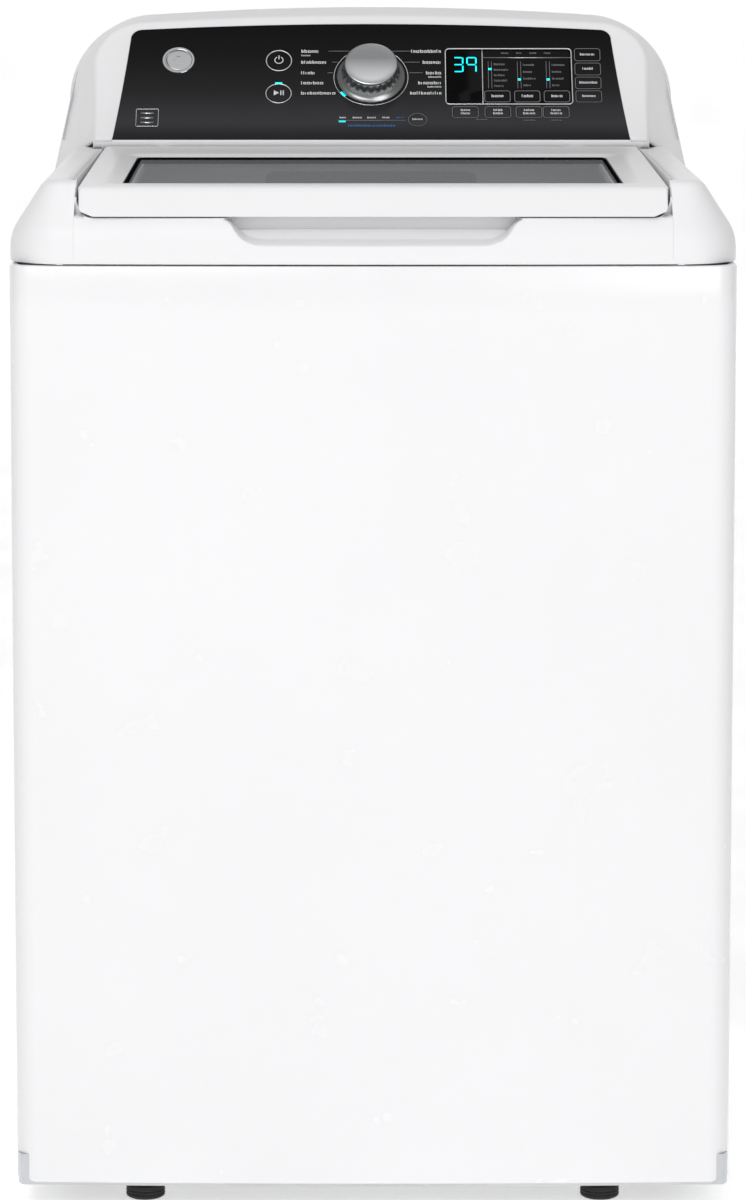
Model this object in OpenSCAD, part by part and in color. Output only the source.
// Top load washing machine: cabinet, top cover, lid, rear console and the suspended wash drive.
// Origin on the floor under the middle of the cabinet, +Z up, front towards -Y, millimetres.

/* [Overall] */
// Width of the top cover, the widest part of the machine
cover_w = 686; // [670:1:830]
// Depth from the front of the top cover to its back
body_d = 686; // [670:1:830]
// Height from the floor to the top of the console
total_h = 1130; // [1060:1:1360]
// Height of the console's top above the joint between cabinet and top cover
cover_rise = 220; // [212:1:230]

/* [Cabinet] */
// Height of the cabinet's lower edge above the floor
base_z = 25; // [21:1:30]
// Thickness of the cabinet's sheet steel
sheet_t = 1.5; // [1:0.1:2]
// Radius of the cabinet's vertical front corners
cabinet_corner_r = 22; // [12:1:30]
// How far the front bows out between its corners
front_bow = 7; // [3:0.5:9]
// Width of the channels of the base frame
rail_w = 44; // [36:1:52]
// Height of the channels of the base frame
rail_h = 30; // [24:1:36]
// Distance of each foot from the middle, side to side
foot_x = 220; // [180:1:250]
// Distance of each foot from the front or back
foot_inset = 58; // [45:1:80]
// Radius of a foot's rubber pad
foot_r = 19; // [15:0.5:22]
// Radius of a foot's threaded stem
foot_stem_r = 5; // [4:0.5:6]

/* [Top cover] */
// Wall of the top cover
cover_wall = 3; // [2:0.1:4]
// Radius of the top cover's corners in plan
cover_corner_r = 50; // [36:1:60]
// Height of the cover's flat top above the joint
cover_h = 77; // [74:1:84]
// Straight height at the foot of the cover's shoulder
shoulder_foot = 13; // [8:1:16]
// Angle of the shoulder's slope from the vertical
shoulder_angle = 33; // [28:1:36]
// Radius where the side turns into the slope
shoulder_low_r = 45; // [30:1:50]
// Radius where the slope turns into the flat top
shoulder_top_r = 14; // [10:1:16]
// Radius of the opening over the basket
opening_r = 228; // [200:1:232]
// Height of the deck round the opening above the joint
deck_rise = 32; // [26:1:34]
// Depth of the lip that hangs from the opening
lip_h = 26; // [16:1:28]
// Half width of the finger scoop at its top edge
scoop_top_x = 142; // [120:1:160]
// Half width of the finger scoop at its floor
scoop_floor_x = 111; // [90:1:118]
// Depth of the finger scoop from front to back
scoop_depth = 24; // [18:1:24]

/* [Lid] */
// Side margin from the cover's edge to the lid's edge
lid_margin = 66; // [60:1:80]
// Gap between the lid and the cover round it
lid_gap = 3.5; // [2:0.5:5]
// Half width of the lid's glass
glass_half_w = 238; // [200:1:250]
// Thickness of the lid's glass
glass_t = 4; // [3:0.5:5]
// Radius of each hinge pin
hinge_pin_r = 4; // [3:0.5:5]
// Rise of the lid from its front crease to its rear edge
lid_rise = 8; // [4:1:9]

/* [Console] */
// Depth of the console from its front lip to the back
console_d = 175; // [170:1:185]
// Radius of the hollow control face
face_r = 480; // [460:1:520]
// Slope angle where the control face starts, measured at its axis
face_start = 53.3; // [52.5:0.1:54]
// Length of the control panel along its curve, at the middle
panel_len = 162; // [156:1:164]
// Thickness of the control panel
panel_t = 2.5; // [2:0.1:3]
// Wall of the console housing
console_wall = 3; // [2.5:0.1:4]
// Radius of the console's upper corners seen from the front
console_corner_r = 90; // [80:1:95]

/* [Controls] */
// Width of a rectangular key
key_w = 25.2; // [20:0.1:25.4]
// Height of a rectangular key
key_h = 14.6; // [11:0.1:15]
// Radius of the power and start keys
round_key_r = 12.6; // [10:0.1:13]
// Radius of the water level key
level_key_r = 9; // [7:0.1:9.5]
// Distance a key stands out from the panel
key_proud = 1; // [1:0.1:2]
// Radius of the selector's skirt
skirt_r = 36; // [30:0.5:37]
// Radius of the selector's crown and face
crown_r = 28.5; // [24:0.5:30]
// Height of the selector above the panel
knob_h = 23; // [18:0.5:26]
// Radius of the selector's spindle
spindle_r = 3; // [2.5:0.1:4]

/* [Wash drive] */
// Outer radius of the tub
tub_r = 290; // [282:1:296]
// Wall of the tub
tub_wall = 3; // [2:0.1:5]
// How much smaller the basket's radius is than the tub's
basket_gap = 28; // [26:1:40]
// Thickness of the basket's sheet steel
basket_t = 1.5; // [1:0.1:2]
// Height of the underside of the tub
tub_z = 235; // [228:1:245]
// Radius of the agitator's skirt
agitator_r = 160; // [130:1:180]
// Radius of the agitator's drive shaft
shaft_r = 8; // [7:0.5:10]
// Outer radius of the basket's spin tube
spin_r = 15; // [13:0.5:17]
// Outer radius of the tub's ball bearings
bearing_r = 32; // [28:0.5:36]
// Radius of the driven pulley
pulley_r = 85; // [70:1:95]
// Radius of the motor's pulley
motor_pulley_r = 16; // [12:1:20]
// Distance from the drive shaft to the motor's shaft
belt_reach = 190; // [180:1:200]
// Radius of the motor's casing
motor_r = 62; // [50:1:66]
// Radius of a suspension rod
rod_r = 4; // [3:0.5:5]
// Distance of a suspension rod from the middle, on each axis
rod_at = 278; // [272:1:284]

/* [Hidden] */
$fn = 48;

half_w = cover_w / 2;
front_y = -body_d / 2;
back_y = body_d / 2;
seam_z = total_h - cover_rise;
top_z = seam_z + cover_h;
big_fn = 720;
eps = 0.5;
run_gap = 0.05;
part_gap = 0.3;

// cabinet
cabinet_half_w = half_w - 1;
cabinet_front = front_y + 1;
cabinet_back = back_y - 4.5;
flange_w = 25;
foot_places = [[foot_x, front_y + foot_inset], [-foot_x, front_y + foot_inset],
    [foot_x, back_y - foot_inset], [-foot_x, back_y - foot_inset]];
rod_places = [[rod_at, rod_at], [-rod_at, rod_at], [-rod_at, -rod_at], [rod_at, -rod_at]];
bracket_z = seam_z - 8;
bracket_t = 3;
nut_h = 6;

// top cover and lid
fascia_z = seam_z + 44;
deck_z = seam_z + deck_rise;
console_front = back_y - console_d;
well_rear = console_front - 3;
well_front = front_y + 28;
lid_half_w = half_w - lid_margin;
well_half_w = lid_half_w + lid_gap;
opening_rear = well_rear - 25;
lid_rear = well_rear - 7;
lid_front_z = top_z - 5;
lid_front = front_y + 31;
lid_t = 23;
hinge_y = lid_rear - 8;
hinge_z = lid_front_z + lid_rise - 10;
glass_front = lid_front + 40;
glass_rear = lid_rear - 108;
glass_seat = 8;

// console and its control face
panel_low_z = top_z + 9;
panel_low_y = console_front + 1;
face_cy = panel_low_y - face_r * cos(face_start);
face_cz = panel_low_z + face_r * sin(face_start);
panel_low_half = half_w - 66;
panel_taper = 0.14;
panel_corner_r = 12;
panel_crown_r = 4100;
console_crown_r = 3360;
rear_cover_y = back_y - 26;
valve_x = -90;
valve_y = rear_cover_y - 20;
inlet_r = 13.3;
inlet_dx = 25;
inlet_z = top_z + 32;

// places on the control face: x to the right, s up along the curve from the panel's lower edge
knob_s = 92;
round_key_x = -97.5;
power_s = 114.4;
start_s = 69.5;
level_x = 48.7;
level_s = 30.9;
column_1 = 99.1;
column_2 = 133.3;
column_3 = 164.8;
column_4 = 196;
column_5 = 229.6;
low_row = 42.4;
main_row = 65.2;
column_pitch = 19;
rinse_x = 166;
rinse_dx = 28.6;
display_x0 = 78.3;
display_x1 = 213.2;
display_s0 = 53.5;
display_s1 = 130.7;
display_split_x = 118;
display_split_s = 118.2;
display_line = 1.2;
emblem_x = -204;
emblem_s = 114.9;
emblem_r = 17.5;
key_travel = 1;

// wash drive heights
tub_top = seam_z - 46;
ring_h = 18;
basket_r = tub_r - basket_gap;
ring_in_r = basket_r - 26;
balance_top = tub_top - 7;
balance_h = 55;
basket_z = tub_z + 39;
basket_top = balance_top - balance_h;
column_top = tub_top - 92;
lug_z = tub_z + 165;
lug_t = 12;
lug_half = 22;
spring_h = 60;
pulley_z = 98;
pulley_h = 20;
motor_a = 135;
motor_x = belt_reach * cos(motor_a);
motor_y = belt_reach * sin(motor_a);
motor_z = tub_z - 95;
pump_x = 120;
pump_y = 150;
pump_r = 42;
pump_z = tub_z - 90;
spigot_x = 175;
spigot_y = 285;
spigot_r = 12;
hose_in_r = spigot_r + 0.5;
hose_out_r = hose_in_r + 3.5;
hose_low_z = tub_z - 40;
hose_bend_r = 20;
outlet_z = seam_z - 78;
housing_z = tub_z - 75;
bearing_h = 14;
belt_t = 4;
belt_w = 12;

// ---- shared shapes ----
module rounded_plate(w, d, r) {
    square([w - 2 * r, d], center = true);
    square([w, d - 2 * r], center = true);
    for (x = [-1, 1], y = [-1, 1])
        translate([x * (w / 2 - r), y * (d / 2 - r)])
            circle(r = r);
}

module tube(r_out, r_in, h) {
    difference() {
        cylinder(r = r_out, h = h);
        translate([0, 0, -eps])
            cylinder(r = r_in, h = h + 2 * eps);
    }
}

// Plan outline with rounded corners and a front that bows out
module bowed_plan(half, y_front, y_rear, r) {
    bow_r = half * half / (2 * front_bow);
    intersection() {
        translate([0, (y_front + y_rear) / 2])
            rounded_plate(2 * half, y_rear - y_front, r);
        translate([0, y_front + bow_r])
            circle(r = bow_r, $fn = 4 * big_fn);
    }
}

module along_x(half) {
    rotate([90, 0, 90])
        translate([0, 0, -half])
            linear_extrude(2 * half)
                children();
}

module along_y(y0, y1) {
    translate([0, y1, 0])
        rotate([90, 0, 0])
            linear_extrude(y1 - y0)
                children();
}

// ---- cabinet ----
module cabinet_plan(inset) {
    bowed_plan(cabinet_half_w - inset, cabinet_front + inset, cabinet_back - inset, cabinet_corner_r - inset);
}

module cabinet_shell() color("white") {
    difference() {
        translate([0, 0, base_z])
            linear_extrude(seam_z - base_z)
                cabinet_plan(0);
        translate([0, 0, base_z - eps])
            linear_extrude(seam_z - base_z + 2 * eps)
                cabinet_plan(sheet_t);
        translate([flange_w - cabinet_half_w, cabinet_back - 10, base_z - eps])
            cube([2 * (cabinet_half_w - flange_w), 20, seam_z - base_z + 2 * eps]);
        screw_shanks(0.05);
    }
    difference() {
        translate([0, 0, bracket_z])
            linear_extrude(bracket_t)
                cabinet_plan(sheet_t);
        translate([0, 0, bracket_z - eps])
            rotate([0, 0, 45])
                linear_extrude(bracket_t + 2 * eps)
                    square(2 * (rod_at - 26) * sqrt(2), center = true);
        for (p = rod_places)
            translate([p[0], p[1], bracket_z - eps])
                cylinder(r = rod_r + 1, h = bracket_t + 2 * eps);
    }
}

screw_zs = [base_z + 40, (base_z + seam_z) / 2, seam_z - 40];
screw_x = cabinet_half_w - 17;

module screw_shanks(gap) {
    for (x = [-1, 1], z = screw_zs)
        translate([x * screw_x, cabinet_back - 9, z])
            rotate([-90, 0, 0])
                cylinder(r = 2 + gap, h = 11.5, $fn = 24);
}

module rear_screws() color("silver") {
    screw_shanks(0);
    for (x = [-1, 1], z = screw_zs)
        translate([x * screw_x, cabinet_back + sheet_t, z])
            rotate([-90, 0, 0])
                cylinder(r = 4.5, h = 2);
}

module rear_panel() color("gainsboro") {
    difference() {
        translate([8 - cabinet_half_w, cabinet_back, base_z])
            cube([2 * (cabinet_half_w - 8), sheet_t, seam_z - base_z - 1]);
        screw_shanks(0.05);
        translate([spigot_x, cabinet_back - eps, outlet_z])
            rotate([-90, 0, 0])
                cylinder(r = hose_out_r + part_gap, h = sheet_t + 2 * eps);
        translate([-250, cabinet_back - eps, base_z + 120])
            rotate([-90, 0, 0])
                cylinder(r = 10, h = sheet_t + 2 * eps);
    }
}

module cord_gland() color("dimgray") {
    translate([-250, cabinet_back - 12, base_z + 120])
        rotate([-90, 0, 0])
            tube(10, 5, 12 + sheet_t);
    translate([-250, cabinet_back + sheet_t, base_z + 120])
        rotate([-90, 0, 0])
            tube(14, 5, 2.5);
}

module base_plan(inset) {
    difference() {
        cabinet_plan(sheet_t + run_gap + inset);
        translate([0, (cabinet_front + cabinet_back) / 2])
            rounded_plate(2 * (cabinet_half_w - rail_w + inset), body_d - 2 * rail_w + 2 * inset, 12);
    }
    for (x = [-1, 1])
        translate([x * foot_x, 0])
            square([rail_w - 2 * inset, body_d - rail_w], center = true);
}

module base_frame() color("gray") {
    difference() {
        translate([0, 0, base_z])
            linear_extrude(rail_h)
                base_plan(0);
        translate([0, 0, base_z - eps])
            linear_extrude(rail_h - 2 + eps)
                base_plan(2);
        for (p = foot_places)
            translate([p[0], p[1], base_z])
                cylinder(r = foot_stem_r + 0.2, h = rail_h + eps);
    }
}

module leveling_feet() color("black")
    for (p = foot_places)
        translate([p[0], p[1], 0]) {
            cylinder(r1 = foot_r - 1, r2 = foot_r, h = 3);
            translate([0, 0, 3])
                cylinder(r = foot_r, h = 11);
            translate([0, 0, 14])
                cylinder(r1 = foot_r - 3, r2 = foot_r - 8, h = 5);
            translate([0, 0, 19])
                cylinder(r = foot_stem_r, h = base_z + rail_h - 4);
        }

module foot_lock_nuts() color("silver")
    for (p = foot_places)
        translate([p[0], p[1], base_z + rail_h - 2 - nut_h])
            difference() {
                cylinder(r = 9.2, h = nut_h, $fn = 6);
                translate([0, 0, -eps])
                    cylinder(r = foot_stem_r + 0.02, h = nut_h + 2 * eps);
            }

module suspension_rods() color("silver")
    for (p = rod_places)
        translate([p[0], p[1], 0]) {
            translate([0, 0, lug_z - spring_h - 5])
                cylinder(r = lug_half - 3, h = 4);
            translate([0, 0, lug_z - spring_h - 9])
                cylinder(r = rod_r, h = bracket_z + bracket_t - lug_z + spring_h + 9);
            translate([0, 0, bracket_z + bracket_t])
                cylinder(r1 = rod_r + 5, r2 = rod_r + 2, h = 5);
        }

module suspension_springs() color("dimgray")
    for (p = rod_places)
        translate([p[0], p[1], lug_z - spring_h - 1])
            linear_extrude(height = spring_h + 1, twist = -360 * 4, slices = 44, $fn = 8)
                translate([14, 0])
                    circle(r = 2.3, $fn = 6);

// ---- top cover ----
// Shoulder curve as [inset, height] pairs, moved inwards by w
function shoulder_x() = shoulder_top_r * cos(shoulder_angle) + shoulder_low_r * (1 - cos(shoulder_angle))
    + tan(shoulder_angle) * (cover_h - shoulder_top_r + shoulder_top_r * sin(shoulder_angle)
        - shoulder_foot - shoulder_low_r * sin(shoulder_angle));
function shoulder(w) = concat(
    [[w, seam_z - eps * (w > 0 ? 1 : 0)]],
    [for (i = [0 : 6]) let (t = shoulder_angle * i / 6)
        [shoulder_low_r - (shoulder_low_r - w) * cos(t), seam_z + shoulder_foot + (shoulder_low_r - w) * sin(t)]],
    [for (i = [0 : 5]) let (t = shoulder_angle + (90 - shoulder_angle) * i / 5)
        [shoulder_x() - (shoulder_top_r - w) * cos(t), top_z - shoulder_top_r + (shoulder_top_r - w) * sin(t)]]);

module cover_front_outline(w)
    polygon(concat([for (p = shoulder(w)) [front_y + p[0], p[1]]],
        [[back_y - w, top_z - w], [back_y - w, seam_z - eps * (w > 0 ? 1 : 0)]]));

module cover_side_outline(w)
    polygon(concat([for (p = shoulder(w)) [p[0] - half_w, p[1]]],
        [for (i = [len(shoulder(w)) - 1 : -1 : 0]) [half_w - shoulder(w)[i][0], shoulder(w)[i][1]]]));

module cover_body(w)
    intersection() {
        along_x(half_w)
            cover_front_outline(w);
        along_y(front_y, back_y)
            cover_side_outline(w);
        translate([0, 0, seam_z - 1])
            linear_extrude(cover_h + 2)
                bowed_plan(half_w - w, front_y + w, back_y - w, cover_corner_r - w);
    }

module opening_plan(r)
    intersection() {
        circle(r = r, $fn = 144);
        translate([-r - 1, -r - 1])
            square([2 * r + 2, opening_rear + (r - opening_r) + r + 1]);
    }

module scoop_outline(grow)
    polygon([[-scoop_top_x - grow, fascia_z + 2], [-scoop_top_x + 4 - grow, fascia_z - 6],
        [-scoop_floor_x - 8 - grow, fascia_z - 21], [-scoop_floor_x - grow, fascia_z - 25 - grow],
        [scoop_floor_x + grow, fascia_z - 25 - grow], [scoop_floor_x + 8 + grow, fascia_z - 21],
        [scoop_top_x - 4 + grow, fascia_z - 6], [scoop_top_x + grow, fascia_z + 2]]);

nozzle_half_w = 110;
nozzle_h = 20;

module top_cover() color("white")
    difference() {
        union() {
            difference() {
                cover_body(0);
                cover_body(cover_wall);
                translate([-well_half_w, front_y - eps, fascia_z - 1])
                    cube([2 * well_half_w, well_rear - front_y + eps, cover_h]);
            }
            intersection() {
                cover_body(0);
                well();
            }
        }
        along_y(front_y - eps, front_y + scoop_depth)
            scoop_outline(0);
        for (x = [-1, 1])
            translate([x * well_half_w - 10, hinge_y, hinge_z])
                rotate([0, 90, 0])
                    cylinder(r = hinge_pin_r + 0.3, h = 20);
        translate([valve_x, valve_y, top_z - 10])
            cylinder(r = 11, h = 20);
        translate([-nozzle_half_w, well_rear - eps, deck_z + 1])
            cube([2 * nozzle_half_w, 10, nozzle_h]);
        translate([-lock_half - part_gap, well_front, fascia_z - 20])
            cube([2 * (lock_half + part_gap), 24 + 2 * part_gap, 9 + part_gap]);
    }

// Walls, deck and lip round the opening, and the scoop's own pocket
module well() {
    difference() {
        translate([-well_half_w - cover_wall, well_front - cover_wall, deck_z - cover_wall])
            cube([2 * (well_half_w + cover_wall), well_rear - well_front + 2 * cover_wall, top_z - deck_z + cover_wall]);
        translate([-well_half_w, well_front, deck_z])
            cube([2 * well_half_w, well_rear - well_front, top_z]);
        translate([-well_half_w, front_y, fascia_z - 1])
            cube([2 * well_half_w, well_rear - front_y, top_z]);
        translate([0, 0, deck_z - 10])
            linear_extrude(20)
                opening_plan(opening_r);
    }
    translate([0, 0, deck_z - lip_h])
        linear_extrude(lip_h)
            difference() {
                opening_plan(opening_r + cover_wall);
                opening_plan(opening_r);
            }
    translate([-well_half_w, front_y, fascia_z - 1 - cover_wall])
        cube([2 * well_half_w, well_front - front_y, cover_wall]);
    along_y(front_y, well_front)
        difference() {
            scoop_outline(cover_wall);
            translate([-half_w, fascia_z - 1])
                square([2 * half_w, 20]);
        }
}

// ---- lid ----
function lid_z(y) = lid_front_z + lid_rise * (y - lid_front) / (lid_rear - lid_front);

module lid_slab(half, y0, y1, drop0, drop1)
    along_x(half)
        polygon([[y0, lid_z(y0) - drop1], [y0, lid_z(y0) - drop0], [y1, lid_z(y1) - drop0], [y1, lid_z(y1) - drop1]]);

module lid_frame() color("white")
    difference() {
        along_x(lid_half_w)
            polygon([[front_y + 10.5, fascia_z + 0.5], [lid_front, lid_front_z], [lid_rear, lid_z(lid_rear)],
                [lid_rear, lid_z(lid_rear) - lid_t], [lid_front + 10, lid_front_z - 19],
                [front_y + 20, fascia_z + 0.5]]);
        lid_slab(glass_half_w + part_gap, glass_front - part_gap, glass_rear + part_gap, -1, glass_t);
        lid_slab(glass_half_w - glass_seat, glass_front + glass_seat, glass_rear - 40, -1, 60);
        difference() {
            lid_slab(lid_half_w - 4, lid_front + 14, lid_rear - 22, 4, 60);
            lid_slab(glass_half_w + 4, glass_front - 4, glass_rear + 4, -1, 60);
        }
        for (x = [-1, 1])
            translate([x * (lid_half_w - 5) - 6, hinge_y, hinge_z])
                rotate([0, 90, 0])
                    cylinder(r = hinge_pin_r + 0.02, h = 12);
        translate([-strike_half, lid_front + 6, lid_front_z - 22])
            cube([2 * strike_half, 7, 8]);
    }

module lid_glass() color("dimgray")
    lid_slab(glass_half_w, glass_front, glass_rear, 0.2, glass_t - run_gap);

module hinge_pins() color("silver")
    for (x = [-1, 1])
        translate([x * (well_half_w + 2) - 8.5, hinge_y, hinge_z])
            rotate([0, 90, 0])
                cylinder(r = hinge_pin_r, h = 17);

module hinge_brackets() color("gray")
    for (x = [-1, 1])
        translate([x * (well_half_w + cover_wall + 4) - 4, hinge_y, hinge_z])
            difference() {
                translate([0, -10, -16])
                    cube([8, 20, 19]);
                translate([-eps, 0, 0])
                    rotate([0, 90, 0])
                        cylinder(r = hinge_pin_r + run_gap, h = 8 + 2 * eps);
            }

strike_half = 9;
lock_half = 16;

module lid_strike() color("gray") {
    translate([-strike_half, lid_front + 6, lid_front_z - 22])
        cube([2 * strike_half, 7, 8]);
    translate([-strike_half, lid_front + 6, fascia_z - 10])
        cube([2 * strike_half, 3, lid_front_z - 22 - fascia_z + 10]);
}

module lid_lock() color("dimgray")
    translate([-lock_half, well_front + part_gap, fascia_z - 20])
        difference() {
            cube([2 * lock_half, 24, 9]);
            translate([lock_half - strike_half - 3, lid_front + 3 - well_front - part_gap, 4])
                cube([2 * strike_half + 6, 13, 10]);
        }

// ---- console ----
function face_angle(s) = face_start - s / face_r * 180 / PI;

module on_face(x, s)
    translate([x, face_cy + face_r * cos(face_angle(s)), face_cz - face_r * sin(face_angle(s))])
        rotate([90 - face_angle(s), 0, 0])
            children();

module face_cylinder(depth)
    translate([-half_w, face_cy, face_cz])
        rotate([0, 90, 0])
            cylinder(r = face_r + depth, h = 2 * half_w, $fn = 288);

// Layer of the control face between two depths behind its surface
module face_layer(depth_0, depth_1)
    difference() {
        face_cylinder(depth_1);
        face_cylinder(depth_0);
    }

module console_front_outline(w) {
    low = half_w - 1 - w;
    mid_x = half_w - 109;
    mid_z = total_h - 100;
    r = console_corner_r - w;
    crown_x = 240;
    right = concat([[low, fascia_z - 1], [low - 6, top_z - 2]],
        [for (i = [1 : 8]) [mid_x + r * cos(10 * i), mid_z + r * sin(10 * i)]],
        [for (i = [0 : 6]) let (x = crown_x * (1 - i / 6)) [x, total_h - w - x * x / (2 * console_crown_r)]]);
    polygon(concat(right, [for (i = [len(right) - 2 : -1 : 0]) [-right[i][0], right[i][1]]]));
}

module console_side_outline(w)
    polygon([[console_front + w, fascia_z - 1], [console_front + w, panel_low_z - w],
        [panel_low_y + 119, total_h - 11 - w], [panel_low_y + 127, total_h - 3 - w], [panel_low_y + 137, total_h - w],
        [back_y - 16, total_h - w], [back_y - 5, total_h - 5 - w], [back_y, total_h - 16 - w], [back_y, fascia_z - 1]]);

module console_plan(w)
    polygon([[54 - half_w + w, console_front], [half_w - 54 - w, console_front], [half_w - 14 - w, back_y - 80],
        [half_w - 1 - w, back_y - 20], [half_w - 1 - w, back_y], [w + 1 - half_w, back_y], [w + 1 - half_w, back_y - 20],
        [w + 14 - half_w, back_y - 80]]);

module console_solid(w)
    difference() {
        intersection() {
            along_y(console_front, back_y)
                console_front_outline(w);
            along_x(half_w)
                console_side_outline(w);
            translate([0, 0, fascia_z - 2])
                linear_extrude(total_h - fascia_z + 4)
                    console_plan(w);
        }
        face_cylinder(w * 2);
    }

// Outline of the control panel, grown by g, round its middle
module panel_outline(g) {
    mid = panel_len / 2;
    side_s = panel_len - 8;
    top_half = panel_low_half - panel_taper * side_s;
    right = concat([[panel_low_half + g, -mid - g]],
        [for (i = [0 : 5]) let (t = 84 * i / 5)
            [top_half - panel_corner_r + (panel_corner_r + g) * cos(t),
                side_s - mid - panel_corner_r + (panel_corner_r + g) * sin(t)]],
        [for (i = [0 : 6]) let (x = (top_half - panel_corner_r) * (1 - i / 6))
            [x, mid + g - x * x / (2 * panel_crown_r)]]);
    polygon(concat(right, [for (i = [len(right) - 2 : -1 : 0]) [-right[i][0], right[i][1]]]));
}

module panel_prism(g)
    on_face(0, panel_len / 2)
        translate([0, 0, -30])
            linear_extrude(60)
                panel_outline(g);

module console_housing() color("white")
    difference() {
        console_solid(0);
        difference() {
            console_solid(console_wall);
            translate([-half_w, console_front, 0])
                cube([2 * half_w, console_d, top_z]);
        }
        cover_body(0);
        intersection() {
            panel_prism(part_gap);
            face_layer(-1, panel_t);
        }
        intersection() {
            panel_prism(-8);
            face_layer(-1, 4 * console_wall);
        }
        along_y(rear_cover_y, back_y + 1)
            intersection() {
                console_front_outline(console_wall);
                translate([-half_w, top_z])
                    square([2 * half_w, total_h]);
            }
    }

module console_rear_cover() color("gainsboro")
    difference() {
        intersection() {
            along_y(rear_cover_y, rear_cover_y + sheet_t)
                console_front_outline(console_wall + part_gap);
            translate([-half_w, rear_cover_y, top_z])
                cube([2 * half_w, sheet_t, total_h - top_z - 8]);
            translate([0, 0, top_z])
                linear_extrude(total_h)
                    console_plan(console_wall + part_gap);
        }
        for (x = [-inlet_dx, inlet_dx])
            translate([valve_x + x, rear_cover_y - eps, inlet_z])
                rotate([-90, 0, 0])
                    cylinder(r = inlet_r + 2, h = sheet_t + 2 * eps);
    }

// ---- controls ----
// Each key as [x, s, width, height, radius]; a round key has no width
keys = [
    [round_key_x, power_s, 0, 0, round_key_r],
    [round_key_x, start_s, 0, 0, round_key_r],
    [level_x, level_s, 0, 0, level_key_r],
    [column_2, main_row, key_w, key_h, 2],
    [column_3, main_row, key_w, key_h, 2],
    [column_4, main_row, key_w, key_h, 2],
    [column_1, low_row, key_w, key_h, 2],
    [column_2, low_row, key_w, key_h, 2],
    [rinse_x, low_row, key_w, key_h, 2],
    [rinse_x + rinse_dx, low_row, key_w, key_h, 2],
    [column_5, main_row + 3 * column_pitch, key_w, key_h, 2],
    [column_5, main_row + 2 * column_pitch, key_w, key_h, 2],
    [column_5, main_row + column_pitch, key_w, key_h, 2],
    [column_5, main_row, key_w, key_h, 2]];

module key_plan(k, grow)
    if (k[2] == 0)
        circle(r = k[4] + grow);
    else
        rounded_plate(k[2] + 2 * grow, k[3] + 2 * grow, k[4] + grow);

module key_prism(k, grow)
    on_face(k[0], k[1])
        translate([0, 0, -20])
            linear_extrude(40)
                key_plan(k, grow);

module key(i) color("black") {
    intersection() {
        key_prism(keys[i], 0);
        face_layer(-key_proud, panel_t + 1.5);
    }
}

module power_key() key(0);
module start_key() key(1);
module level_key() key(2);
module temp_key() key(3);
module soil_key() key(4);
module spin_key() key(5);
module soak_key() key(6);
module fill_key() key(7);
module rinse_key() key(8);
module deep_rinse_key() key(9);
module favorite_key() key(10);
module delay_key() key(11);
module eco_key() key(12);
module sound_key() key(13);

module control_panel() color([0.06, 0.06, 0.07])
    difference() {
        intersection() {
            panel_prism(0);
            face_layer(0, panel_t);
        }
        for (k = keys)
            key_prism(k, part_gap);
        on_face(0, knob_s)
            translate([0, 0, -20])
                cylinder(r = spindle_r + 2, h = 40);
    }

module display_frame() color("silver")
    intersection() {
        face_layer(-0.4, 0);
        on_face((display_x0 + display_x1) / 2, (display_s0 + display_s1) / 2)
            translate([0, 0, -20])
                linear_extrude(40)
                    difference() {
                        rounded_plate(display_x1 - display_x0, display_s1 - display_s0, 5);
                        rounded_plate(display_x1 - display_x0 - 2 * display_line,
                            display_s1 - display_s0 - 2 * display_line, 4);
                    }
    }

module emblem() color("silver")
    intersection() {
        face_layer(-1.2, 0);
        on_face(emblem_x, emblem_s)
            translate([0, 0, -20])
                cylinder(r = emblem_r, h = 40);
    }

module control_board() color("darkgreen")
    on_face(160, 82)
        translate([-95, -62, -14])
            cube([190, 124, 1.6]);

module selector_switch() color("dimgray")
    on_face(0, knob_s)
        translate([0, 0, -22])
            difference() {
                translate([-14, -14, 0])
                    cube([28, 28, 15]);
                translate([0, 0, 3])
                    cylinder(r = spindle_r + run_gap, h = 15);
            }

module selector_knob() color("dimgray")
    on_face(0, knob_s)
        difference() {
            union() {
                translate([0, 0, 3])
                    cylinder(r1 = skirt_r, r2 = crown_r + 2, h = 5);
                translate([0, 0, 8])
                    cylinder(r = crown_r + 0.5, h = knob_h - 8);
                for (i = [0 : 23])
                    rotate([0, 0, 15 * i])
                        translate([crown_r, 0, 8])
                            cylinder(r = 1.4, h = knob_h - 10, $fn = 16);
                translate([0, 0, -17])
                    cylinder(r = spindle_r, h = 21);
            }
            translate([0, 0, knob_h - 3])
                cylinder(r = crown_r - 2, h = 4);
        }

module selector_face() color("lightgray")
    on_face(0, knob_s)
        translate([0, 0, knob_h - 3])
            cylinder(r = crown_r - 2, h = 3.5);

// ---- water path ----
module inlet_valve() color("white") {
    difference() {
        translate([valve_x - 42, valve_y - 20, inlet_z - 20])
            cube([84, 40, 38]);
        translate([valve_x, valve_y, inlet_z - 21])
            cylinder(r = 7, h = 20);
    }
    for (x = [-inlet_dx, inlet_dx])
        translate([valve_x + x, valve_y + 20, inlet_z])
            rotate([-90, 0, 0])
                tube(inlet_r, 8, back_y - valve_y - 21);
}

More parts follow.
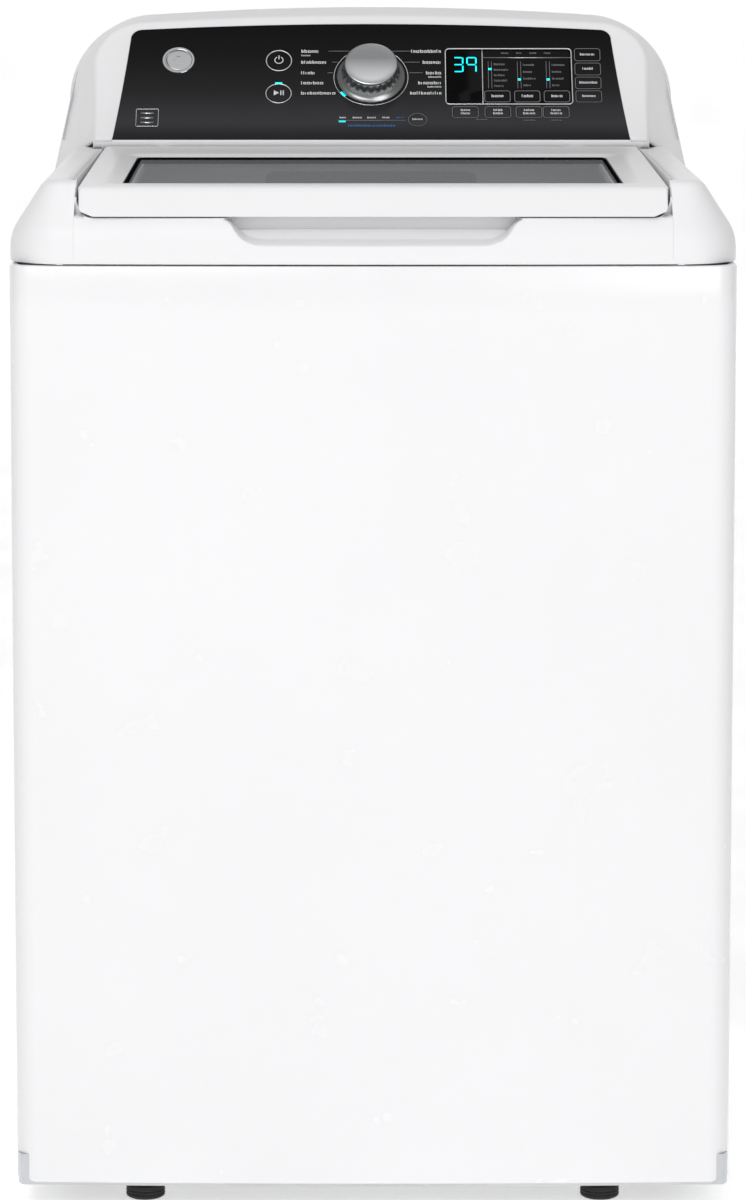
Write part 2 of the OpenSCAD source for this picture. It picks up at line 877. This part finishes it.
module fill_nozzle() color("lightgray")
    difference() {
        union() {
            translate([-nozzle_half_w + part_gap, well_rear + part_gap, deck_z + 1 + part_gap])
                cube([2 * (nozzle_half_w - part_gap), valve_y + 20 - well_rear, nozzle_h - 2 * part_gap]);
            translate([valve_x, valve_y, deck_z + nozzle_h])
                cylinder(r = 10, h = inlet_z - 20 - deck_z - nozzle_h);
        }
        translate([-nozzle_half_w + 3, well_rear - 1, deck_z + 4])
            cube([2 * nozzle_half_w - 6, valve_y + 15 - well_rear, nozzle_h - 6]);
        translate([valve_x, valve_y, deck_z + 10])
            cylinder(r = 7, h = 100);
    }

module drain_outlet() color("gray")
    translate([spigot_x, spigot_y + hose_bend_r, outlet_z])
        rotate([-90, 0, 0]) {
            tube(hose_out_r, hose_in_r, cabinet_back + sheet_t + 2 - spigot_y - hose_bend_r);
            translate([0, 0, cabinet_back - 3 - spigot_y - hose_bend_r])
                tube(hose_out_r + 8, hose_out_r - 1, 3);
        }

module drain_hose() color("dimgray") {
    translate([spigot_x, spigot_y, hose_low_z])
        tube(hose_out_r, hose_in_r, outlet_z - hose_bend_r - hose_low_z);
    translate([spigot_x, spigot_y + hose_bend_r, outlet_z - hose_bend_r])
        rotate([90, 0, -90])
            rotate_extrude(angle = 90)
                translate([hose_bend_r, 0])
                    difference() {
                        circle(r = hose_out_r);
                        circle(r = hose_in_r);
                    }
}

// ---- tub ----
module outer_tub() color("whitesmoke")
    difference() {
        union() {
            difference() {
                cylinder_at(tub_r, tub_z, tub_top, $fn = 144);
                cylinder_at(tub_r - tub_wall, tub_z + 4, tub_top + eps, $fn = 144);
            }
            for (p = rod_places)
                translate([0, 0, lug_z])
                    rotate([0, 0, atan2(p[1], p[0])])
                        translate([tub_r - tub_wall / 2, -lug_half, 0])
                            cube([rod_at * sqrt(2) - tub_r + tub_wall / 2 + lug_half, 2 * lug_half, lug_t]);
        }
        cylinder_at(spin_r + 4, tub_z - eps, tub_z + 10);
        translate([pump_x, pump_y, tub_z - eps])
            cylinder(r = 20, h = 10);
        for (p = rod_places)
            translate([p[0], p[1], lug_z - eps])
                cylinder(r = rod_r + 1, h = lug_t + 2 * eps);
    }

module tub_cover_ring() color("whitesmoke")
    translate([0, 0, tub_top]) {
        tube(tub_r + 2, ring_in_r + 20, 4, $fn = 144);
        tube(ring_in_r + 22, ring_in_r, ring_h, $fn = 144);
    }

module bearing_housing() color("gray")
    difference() {
        union() {
            translate([0, 0, housing_z])
                cylinder(r = bearing_r + 12, h = tub_z - housing_z);
            translate([0, 0, tub_z - 9])
                cylinder(r = 140, h = 9, $fn = 96);
            for (i = [0 : 5])
                rotate([0, 0, 60 * i + 15])
                    translate([0, -4, tub_z - 50])
                        cube([100, 8, 45]);
        }
        translate([0, 0, housing_z - eps])
            cylinder(r = bearing_r, h = tub_z - housing_z + 2 * eps);
        translate([motor_x, motor_y, tub_z - 60])
            cylinder(r = motor_r + 4, h = 70);
    }

module tub_bearings() color("silver")
    for (z = [housing_z + 4, tub_z - 9 - bearing_h])
        translate([0, 0, z])
            tube(bearing_r, spin_r + run_gap, bearing_h);

module drive_motor() color("dimgray")
    translate([motor_x, motor_y, 0])
        difference() {
            union() {
                translate([0, 0, motor_z])
                    cylinder(r = motor_r, h = 84);
                for (a = [45, 165, 285])
                    rotate([0, 0, a])
                        translate([motor_r - 14, -8, motor_z + 80])
                            cube([12, 16, tub_z - motor_z - 80]);
                translate([0, 0, motor_z - 12])
                    cylinder(r = 22, h = 12);
            }
            translate([0, 0, motor_z + 6])
                cylinder(r = motor_r - 16, h = 72);
            translate([0, 0, motor_z - 13])
                cylinder(r = 7 + run_gap, h = 30);
        }

module motor_pulley() color("silver")
    translate([motor_x, motor_y, 0]) {
        translate([0, 0, pulley_z])
            pulley(motor_pulley_r, pulley_h);
        translate([0, 0, pulley_z])
            cylinder(r = 7, h = motor_z + 78 - pulley_z - 4);
        translate([0, 0, motor_z + 10])
            cylinder(r = motor_r - 18, h = 60);
    }

// Grooved pulley, grooved to radius r
module pulley(r, h)
    rotate_extrude($fn = 96)
        polygon([[0, 0], [r + 7, 0], [r + 7, 2], [r, 3], [r, h - 3], [r + 7, h - 2], [r + 7, h], [0, h]]);

module drive_pulley() color("gray")
    translate([0, 0, pulley_z])
        difference() {
            pulley(pulley_r, pulley_h);
            for (i = [0 : 5])
                rotate([0, 0, 60 * i])
                    translate([52, 0, -eps])
                        cylinder(r = 18, h = pulley_h + 2 * eps);
            translate([0, 0, -eps])
                cylinder(r = shaft_r, h = pulley_h + 2 * eps);
        }

// Belt outline round both pulleys, grown outwards by g
module belt_plan(g) {
    ra = pulley_r + g;
    rb = motor_pulley_r + g;
    phi = acos((ra - rb) / belt_reach);
    polygon(concat(
        [for (i = [0 : 60]) let (t = phi + (360 - 2 * phi) * i / 60) [ra * cos(t), ra * sin(t)]],
        [for (i = [0 : 24]) let (t = phi * (i / 12 - 1)) [belt_reach + rb * cos(t), rb * sin(t)]]));
}

module drive_belt() color("black")
    translate([0, 0, pulley_z + (pulley_h - belt_w) / 2])
        rotate([0, 0, motor_a])
            linear_extrude(belt_w)
                difference() {
                    belt_plan(2 * part_gap + belt_t);
                    belt_plan(2 * part_gap);
                }

module drain_pump() color("gray") {
    run = sqrt((spigot_x - pump_x) * (spigot_x - pump_x) + (spigot_y - pump_y) * (spigot_y - pump_y));
    difference() {
        union() {
            translate([pump_x, pump_y, pump_z])
                cylinder(r = pump_r, h = 60);
            translate([pump_x, pump_y, pump_z + 60])
                cylinder(r = 24, h = tub_z - pump_z - 60);
            translate([pump_x, pump_y, pump_z + 16])
                rotate([0, 90, atan2(spigot_y - pump_y, spigot_x - pump_x)])
                    cylinder(r = spigot_r, h = run);
            translate([spigot_x, spigot_y, pump_z + 4])
                cylinder(r = spigot_r, h = tub_z - pump_z - 8);
        }
        translate([pump_x, pump_y, pump_z + 6])
            cylinder(r = 30, h = 22);
        translate([pump_x, pump_y, pump_z + 25])
            cylinder(r = 18, h = tub_z - pump_z);
        translate([pump_x, pump_y, pump_z + 16])
            rotate([0, 90, atan2(spigot_y - pump_y, spigot_x - pump_x)])
                cylinder(r = spigot_r - 3, h = run);
        translate([spigot_x, spigot_y, pump_z + 7])
            cylinder(r = spigot_r - 3, h = tub_z - pump_z);
    }
}

module pump_impeller() color("dimgray")
    translate([pump_x, pump_y, pump_z + 8]) {
        cylinder(r = 8, h = 16);
        for (i = [0 : 4])
            rotate([0, 0, 72 * i])
                translate([0, -1.5, 0])
                    cube([26, 3, 14]);
    }

// ---- basket ----
module wash_basket() color("silver") {
    difference() {
        translate([0, 0, basket_z])
            cylinder(r = basket_r, h = basket_top - basket_z, $fn = 144);
        translate([0, 0, basket_z + basket_t])
            cylinder(r = basket_r - basket_t, h = basket_top, $fn = 144);
        translate([0, 0, basket_z - eps])
            cylinder(r = spin_r, h = 10);
        for (i = [0 : 11], j = [0 : 4])
            rotate([0, 0, 30 * i + 15 * (j % 2)])
                translate([basket_r - 10, 0, basket_z + 80 + 80 * j])
                    rotate([0, 90, 0])
                        cylinder(r = 5, h = 20, $fn = 16);
    }
}

module balance_ring() color("gainsboro")
    translate([0, 0, basket_top])
        difference() {
            tube(basket_r + 2, ring_in_r - 4, balance_h, $fn = 144);
            translate([0, 0, 5])
                tube(basket_r - 2, ring_in_r, balance_h - 10, $fn = 144);
        }

module basket_hub() color("gray")
    difference() {
        union() {
            cylinder_at(spin_r, housing_z - 25, basket_z + basket_t);
            cylinder_at(110, basket_z - 8, basket_z);
        }
        cylinder_at(shaft_r + run_gap, housing_z - 26, basket_z + 10);
    }

module cylinder_at(r, z0, z1)
    translate([0, 0, z0])
        cylinder(r = r, h = z1 - z0);

// ---- agitator ----
agitator_z = basket_z + basket_t + 4;

module agitator_base() color("whitesmoke")
    difference() {
        union() {
            translate([0, 0, agitator_z])
                cylinder(r = agitator_r, h = 6, $fn = 96);
            translate([0, 0, agitator_z + 6])
                cylinder(r1 = agitator_r - 2, r2 = 62, h = 60, $fn = 96);
            translate([0, 0, agitator_z + 66])
                cylinder(r1 = 62, r2 = 48, h = 240);
            for (i = [0 : 3])
                rotate([0, 0, 90 * i])
                    along_y(-4, 4)
                        polygon([[30, agitator_z + 6], [agitator_r - 8, agitator_z + 6], [agitator_r - 14, agitator_z + 60],
                            [80, agitator_z + 120], [64, agitator_z + 280], [30, agitator_z + 280]]);
        }
        translate([0, 0, agitator_z - eps])
            cylinder(r1 = agitator_r - 9, r2 = 57, h = 62);
        translate([0, 0, agitator_z + 61])
            cylinder(r1 = 57, r2 = 44, h = 215);
        translate([0, 0, agitator_z - eps])
            cylinder(r = shaft_r, h = 400);
        translate([0, 0, agitator_z + 292])
            cylinder(r = 36, h = 30);
    }

module drive_shaft() color("silver")
    cylinder_at(shaft_r, pulley_z - 4, agitator_z + 292);

module agitator_auger() color("whitesmoke") {
    low = agitator_z + 306.5;
    difference() {
        union() {
            cylinder_at(46, low, column_top);
            cylinder_at(35.5, low - 12, low);
            for (i = [0 : 8])
                rotate([0, 0, 40 * i])
                    translate([52, 0, low + 10 + 15 * i])
                        rotate([25, 0, 0])
                            cube([34, 30, 5], center = true);
        }
        translate([0, 0, column_top - 70])
            cylinder(r = 38, h = 80);
        translate([0, 0, low - 13])
            cylinder(r = 30, h = column_top - low - 65);
    }
}

cabinet_shell();
rear_panel();
base_frame();
leveling_feet();
foot_lock_nuts();
suspension_rods();
suspension_springs();
top_cover();
console_housing();
console_rear_cover();
control_panel();
display_frame();
emblem();
control_board();
selector_switch();
lid_lock();
hinge_brackets();
inlet_valve();
fill_nozzle();
drain_outlet();
drain_hose();
cord_gland();
rear_screws();
outer_tub();
tub_cover_ring();
bearing_housing();
tub_bearings();
drive_motor();
drain_pump();
drive_belt();
wash_basket();
balance_ring();
basket_hub();
agitator_base();
drive_shaft();
drive_pulley();
agitator_auger();
motor_pulley();
pump_impeller();
lid_frame();
lid_glass();
lid_strike();
hinge_pins();
selector_knob();
selector_face();
power_key();
start_key();
level_key();
temp_key();
soil_key();
spin_key();
soak_key();
fill_key();
rinse_key();
deep_rinse_key();
favorite_key();
delay_key();
eco_key();
sound_key();
